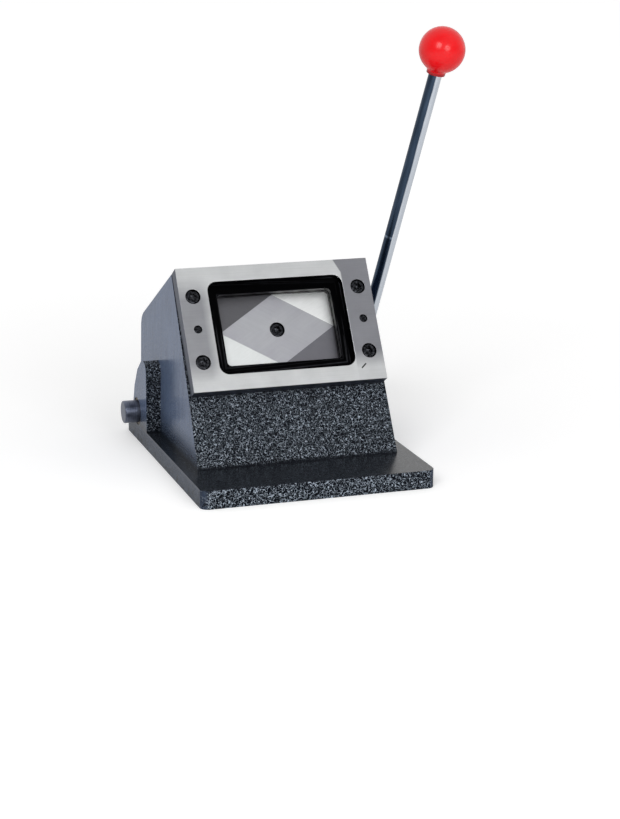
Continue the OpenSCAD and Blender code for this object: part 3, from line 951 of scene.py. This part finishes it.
def settle(name, bm, body, slot, finishes, *nodes, smooth_to=30):
    """Makes the finished piece of a mesh, riding on its body for its nodes."""
    bmesh.ops.recalc_face_normals(bm, faces=bm.faces)
    mesh = bpy.data.meshes.new(name)
    bm.to_mesh(mesh)
    bm.free()
    for finish in finishes:
        mesh.materials.append(finish)
    mesh.polygons.foreach_set("use_smooth", [True] * len(mesh.polygons))
    mesh.set_sharp_from_angle(angle=math.radians(smooth_to))
    made = bpy.data.objects.new(name, mesh)
    bpy.context.scene.collection.objects.link(made)
    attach(made, body)
    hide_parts(*nodes)
    return made


def merged(node):
    """A CAD node as one clean closed mesh with its flat faces joined."""
    bm = bmesh.new()
    bm.from_mesh(NODES[node].data)
    bmesh.ops.remove_doubles(bm, verts=bm.verts, dist=0.002 * MM)
    bmesh.ops.dissolve_limit(
        bm, angle_limit=math.radians(0.2), verts=bm.verts, edges=bm.edges
    )
    return bm


def ease_edges(piece, share, width, segments):
    """A live bevel on a piece's edges: share gives each edge's part of the width."""
    mesh = piece.data
    bm = bmesh.new()
    bm.from_mesh(mesh)
    weight = bm.edges.layers.float.new("bevel_weight_edge")
    for edge in bm.edges:
        if len(edge.link_faces) == 2 and edge.calc_face_angle() > math.radians(14):
            edge[weight] = share([v.co for v in edge.verts])
    bm.to_mesh(mesh)
    bm.free()
    bevel = piece.modifiers.new("eased_edges", "BEVEL")
    bevel.limit_method = "WEIGHT"
    bevel.affect = "EDGES"
    bevel.width = width * MM
    bevel.segments = segments
    bevel.profile = 0.5
    bevel.material = -1
    flat = piece.modifiers.new("flat_faces", "WEIGHTED_NORMAL")
    flat.keep_sharp = True


def casting_edges(ends):
    """Outer edges of the casting, apart from those on the bench and at the shaft;
    the machined seat of the plate stays crisper."""
    a, b = (v / MM for v in ends)
    middle = (a + b) / 2
    if min(abs(a.x), abs(b.x)) < WALL_X - 0.6 or middle.z < 1:
        return 0.0
    if math.hypot(middle.y - SHAFT_Y, middle.z - SHAFT_Z) < 12:
        return 0.0
    if middle.y > 101 and max(a.z, b.z) < BASE_TOP + 0.7:
        return 0.3  # the ledge behind the wall is only 2 mm wide
    inwards = (PLATE.inverted() @ (middle * MM)).z / MM
    return 0.3 if abs(inwards + GUIDE_IN) < 0.3 else 1.0


def plate_edges(ends):
    """Every edge of the plate is eased, the cutting edge the least."""
    a, b = (PLATE.inverted() @ v / MM for v in ends)
    middle = (a + b) / 2
    if abs(middle.x) < CARD_W / 2 + 1 and abs(middle.y) < CARD_H / 2 + 1:
        return 0.15
    return 1.0 if middle.z > -1 and abs(middle.x) < SCREW_X - 8 else 0.6


def shaft_ends(ends):
    """The shaft's two end rims."""
    return 1.0 if min(abs(v.x / MM) for v in ends) > LUG_X + 10 else 0.0


casting = settle(
    "enamelled_casting",
    merged("frame_casting"),
    "frame",
    "casting_enamel",
    [ENAMEL],
    "frame_casting",
)
ease_edges(casting, casting_edges, width=2.6, segments=4)

bm = merged("die_plate")
to_plate = PLATE.inverted()
for face in bm.faces:
    middle = to_plate @ face.calc_center_median() / MM
    facing = to_plate.to_3x3() @ face.normal
    across, up = abs(middle.x), abs(middle.y)
    in_window = across < WINDOW_W / 2 + 0.1 and up < WINDOW_H / 2 + 0.1
    in_hole = abs(across - SCREW_X) < SEAT_R and up < SCREW_Y + 6 and facing.z > -0.5
    # the window's walls and floor and the screw seats take the near-black finish
    if facing.z > 0.9 and middle.z > -0.1:
        face.material_index = 0
    else:
        face.material_index = 2 if in_window or in_hole else 1
plate = settle(
    "ground_front_plate",
    bm,
    "frame",
    "ground_steel",
    [PLATE_FACE, PLATE_EDGE, WINDOW],
    "die_plate",
)
ease_edges(plate, plate_edges, width=0.45, segments=2)

shaft = settle(
    "rounded_cross_shaft",
    merged("cross_shaft"),
    "lever",
    "turned_steel",
    [SHAFT_STEEL],
    "cross_shaft",
)
ease_edges(shaft, shaft_ends, width=1.8, segments=4)

bm = bmesh.new()
for x in (-SCREW_X, SCREW_X):
    for y in (-SCREW_Y, SCREW_Y):
        cap_screw(bm, PLATE @ shift(x, y, -0.6), length=16)
settle("plate_cap_screws", bm, "frame", "black_oxide", [BLACK_OXIDE], "die_screws")

bm = bmesh.new()
cap_screw(bm, PLATE @ shift(0, 0, -PUNCH_IN - 0.8), length=PUNCH_T + 6)
settle("punch_cap_screw", bm, "punch", "black_oxide", [BLACK_OXIDE], "punch_screw")

bm = bmesh.new()
for x in (-GUIDE_SCREW_X, GUIDE_SCREW_X):
    for y in (-GUIDE_SCREW_Y, GUIDE_SCREW_Y):
        at = PLATE @ shift(x, y, -GUIDE_IN - 0.1)
        countersunk_screw(bm, at, end=-17.9)
settle(
    "guide_countersunk_screws",
    bm,
    "frame",
    "black_oxide",
    [BLACK_OXIDE],
    "guide_screws",
)

# heights and radii along a dowel pin
DOWEL = ((0, 2.35), (-0.18, 2.75), (-0.5, 3), (-22, 3), (-22.4, 2.6), (-22.5, 2))
bm = bmesh.new()
for x in (-SCREW_X, SCREW_X):
    top = PLATE @ shift(x, 0, -0.8)
    rings = [(top, 2.2)]
    for z, radius in DOWEL:
        rings.append((top @ shift(0, 0, z), radius))
    skin_over(bm, rings, PIN_SIDES)
settle("ground_dowel_pins", bm, "frame", "black_oxide", [BLACK_OXIDE], "dowel_pins")

# lever: foot, straight, bend, straight, and the spigot inside the ball
bend_start = BEND_R * math.tan(math.radians(BEND_A / 2))
bar = ROD_D / 2
foot = ROD_FOOT + 0.8
straight = BEND_H - bend_start
rings = [
    (LEVER @ shift(0, 0, ROD_FOOT), bar - 1.2, ROD_FOOT),
    (LEVER @ shift(0, 0, ROD_FOOT + 0.25), bar - 0.5, ROD_FOOT),
    (LEVER @ shift(0, 0, foot), bar, foot),
]
for i in range(1, 9):
    z = foot + (straight - foot) * i / 8
    rings.append((LEVER @ shift(0, 0, z), bar, z))
for i in range(1, 13):
    a = BEND_A * i / 12
    hinge = LEVER @ shift(BEND_R, 0, straight)
    place = hinge @ turn(a, "Y") @ shift(-BEND_R, 0, 0)
    rings.append((place, bar, straight + math.radians(a) * BEND_R))
for i in range(1, 25):
    z = bend_start + (NECK_Z - 0.3 - bend_start) * i / 24
    rings.append((PAST_BEND @ shift(0, 0, z), bar, BEND_H + z))
SPIGOT = ((NECK_Z, bar - 0.3), (NECK_Z, 3), (NECK_Z + 15.6, 3), (NECK_Z + 16, 2.6))
for z, radius in SPIGOT:
    rings.append((PAST_BEND @ shift(0, 0, z), radius, BEND_H + z))
bm = bmesh.new()
skin_over(bm, rings, BAR_SIDES)
settle("lever_bar", bm, "lever", "bright_steel", [BAR], "lever_rod")

# ball knob: bored neck, a small fillet, then the ball
bm = bmesh.new()
COLLAR_R, BORE_R, BORE_DEEP = 7, 5.02, 18
ball = BALL_D / 2 - 0.01  # a hair inside the CAD's ball
start = math.degrees(math.asin(COLLAR_R / ball)) + 2.2
outline = [(BORE_DEEP, BORE_R), (0, BORE_R), (0, 6.5), (0.15, 6.85)]
outline += [(0.5, COLLAR_R), (1.6, COLLAR_R), (2.3, COLLAR_R + 0.15)]
for i in range(31):
    a = math.radians(start + (180 - start - 0.6) * i / 30)
    outline.append((ROD_L - NECK_Z - ball * math.cos(a), ball * math.sin(a)))
rings = [(PAST_BEND @ shift(0, 0, NECK_Z + z), radius) for z, radius in outline]
skin_over(bm, rings)
settle("ball_knob_red", bm, "lever", "red_phenolic", [RED], "ball_knob", smooth_to=40)

bm = bmesh.new()
sunk = RIGHT_OUT - 1.5
at = SHAFT_LINE @ shift(0, 0, LUG_X + sunk)
long = sunk - ROD_OUT - bar
grub_screw(bm, at, diameter=6, length=long, across_flats=3, pitch=1.0)
settle(
    "lever_socket_grub", bm, "lever", "black_oxide", [BLACK_OXIDE], "lever_grub_screw"
)

bm = bmesh.new()
for side in (-1, 1):
    at = SHAFT @ shift(side * (INNER_W / 2 - 7.4), 0, SHAFT_D / 2 + 5)
    grub_screw(bm, at, diameter=5, length=5, across_flats=2.5, pitch=0.8)
settle(
    "collar_socket_grubs", bm, "lever", "black_oxide", [BLACK_OXIDE], "collar_screws"
)

# return spring: one wire wound round the ram, its ends ground flat
bm = bmesh.new()
low, high = SPRING_FAR + WIRE * 0.35, SPRING_NEAR - WIRE * 0.35
rings = []
for i in range(WIRE_STEPS + 1):
    t = i / WIRE_STEPS
    rise = min(max((t * COILS - 0.75) / (COILS - 1.5), 0), 1)
    around = shift(0, 0, low + (high - low) * rise) @ turn(360 * COILS * t, "Z")
    rings.append((PLATE @ around @ shift(SPRING_R, 0, 0) @ turn(90, "X"), WIRE / 2))
skin_over(bm, rings, WIRE_SIDES)
for z, out in ((SPRING_FAR, -1), (SPRING_NEAR, 1)):
    cut = bmesh.ops.bisect_plane(
        bm,
        geom=bm.verts[:] + bm.edges[:] + bm.faces[:],
        plane_co=PLATE @ Vector((0, 0, z * MM)),
        plane_no=PLATE.to_3x3() @ Vector((0, 0, out)),
        clear_outer=True,
    )
    rim = [e for e in cut["geom_cut"] if isinstance(e, bmesh.types.BMEdge)]
    bmesh.ops.holes_fill(bm, edges=rim)
    put_in_order(bm)
spring = settle(
    "coiled_return_spring", bm, "frame", "spring_steel", [BLUED], "return_spring"
)
long = SPRING_NEAR - SPRING_FAR
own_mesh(spring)

FINISHES = {
    "bottom_cover": ZINC,
    "cover_screws": BLACK_OXIDE,
    "sheet_spacers": BLUED,
    "guide_plate": WINDOW,
    "punch": PUNCH,
    "ram": RAM_STEEL,
    "ram_bush": RAM_BRONZE,
    "spring_collar": RAM_STEEL,
    "ram_ring": BLUED,
    "thrust_pad": BLUED,
    "left_bush": BUSH_BRONZE,
    "right_bush": BUSH_BRONZE,
    "shaft_collars": SHAFT_STEEL,
    "cam": SHAFT_STEEL,
    "cam_pin": BLUED,
    "knob_insert": BRASS,
}
for node, finish in FINISHES.items():
    data = NODES[node].data
    data.materials.clear()
    data.materials.append(finish)


# ---------------------------------------------------------------- studio
scene = bpy.context.scene
scene.view_settings.view_transform = "Standard"
world = bpy.data.worlds.new("white_studio")
world.use_nodes = True
world.node_tree.nodes.clear()
scene.world = world
AMBIENT, ROOM = 0.55, 0.3
BACKWARDS = (-0.32, -0.95, 0.0)
tree = world.node_tree
path = add(tree, "LightPath").outputs
# white behind the object, where metal shows it too, and dim towards the camera
toward_camera = add(
    tree,
    "VectorMath",
    {0: add(tree, "TexCoord").outputs["Generated"], 1: BACKWARDS},
    operation="DOT_PRODUCT",
)
mirrored = add(
    tree,
    "MapRange",
    {"Value": toward_camera.outputs["Value"], 1: -0.1, 2: 0.45, 3: 1.0, 4: ROOM},
)
shiny = add(
    tree,
    "Math",
    {0: path["Is Glossy Ray"], 1: path["Is Transmission Ray"]},
    operation="MAXIMUM",
)
strength = add(tree, "Mix", {0: shiny, 2: AMBIENT, 3: mirrored}, data_type="FLOAT")
strength = add(
    tree, "Mix", {0: path["Is Camera Ray"], 2: strength, 3: 1.0}, data_type="FLOAT"
)
sky = add(tree, "Background", {"Color": (1.0, 1.0, 1.0, 1.0), "Strength": strength})
add(tree, "OutputWorld", {"Surface": sky})

# pale floor, which away from the object adds its own light where it is looked at
FLOOR_METRES = 16
bm = bmesh.new()
bmesh.ops.create_grid(bm, x_segments=1, y_segments=1, size=FLOOR_METRES / 2)
floor_mesh = bpy.data.meshes.new("floor")
bm.to_mesh(floor_mesh)
bm.free()
floor = bpy.data.objects.new("floor", floor_mesh)
scene.collection.objects.link(floor)
finish, tree = new_finish("pale_floor")
path = add(tree, "LightPath").outputs
reach = add(
    tree, "VectorMath", {0: add(tree, "TexCoord").outputs["Object"]}, operation="LENGTH"
)
far = add(
    tree, "MapRange", {"Value": reach.outputs["Value"], 1: 0.2, 2: 1.1, 3: 0.24, 4: 0.5}
)
seen = add(
    tree,
    "Math",
    {0: path["Is Glossy Ray"], 1: path["Is Transmission Ray"]},
    operation="MAXIMUM",
)
seen = add(
    tree, "Math", {0: seen, 1: 0.4, 2: path["Is Camera Ray"]}, operation="MULTIPLY_ADD"
)
glow = add(tree, "Math", {0: far, 1: seen}, operation="MULTIPLY")
lay_on(
    tree,
    {
        "Base Color": paint("#f4f4f4"),
        "Roughness": 0.9,
        "Specular IOR Level": 0.0,
        "Emission Color": (1.0, 1.0, 1.0, 1.0),
        "Emission Strength": glow,
    },
)
floor_mesh.materials.append(finish)
floor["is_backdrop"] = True


def softbox(name, toward, rise, away, size, power):
    """A square lamp seen from the object beside and above the camera."""
    heading = math.radians(-90 - CAMERA_TURN + toward)
    up = math.radians(rise)
    aim = Vector((0, 0, 0.12))
    lamp = bpy.data.lights.new(name, "AREA")
    lamp.shape, lamp.size, lamp.energy = "SQUARE", size, power
    direction = Vector(
        (
            math.cos(up) * math.cos(heading),
            math.cos(up) * math.sin(heading),
            math.sin(up),
        )
    )
    hung = bpy.data.objects.new(name, lamp)
    hung.matrix_world = Matrix.LocRotScale(
        aim + direction * away, direction.to_track_quat("Z", "Y"), None
    )
    scene.collection.objects.link(hung)


softbox("left_softbox", toward=-17, rise=32, away=1.8, size=0.7, power=12)
softbox("right_softbox", toward=26, rise=18, away=1.9, size=0.7, power=9.5)
softbox("plate_softbox", toward=44, rise=44.5, away=1.9, size=1.6, power=2.9)

low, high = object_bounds()
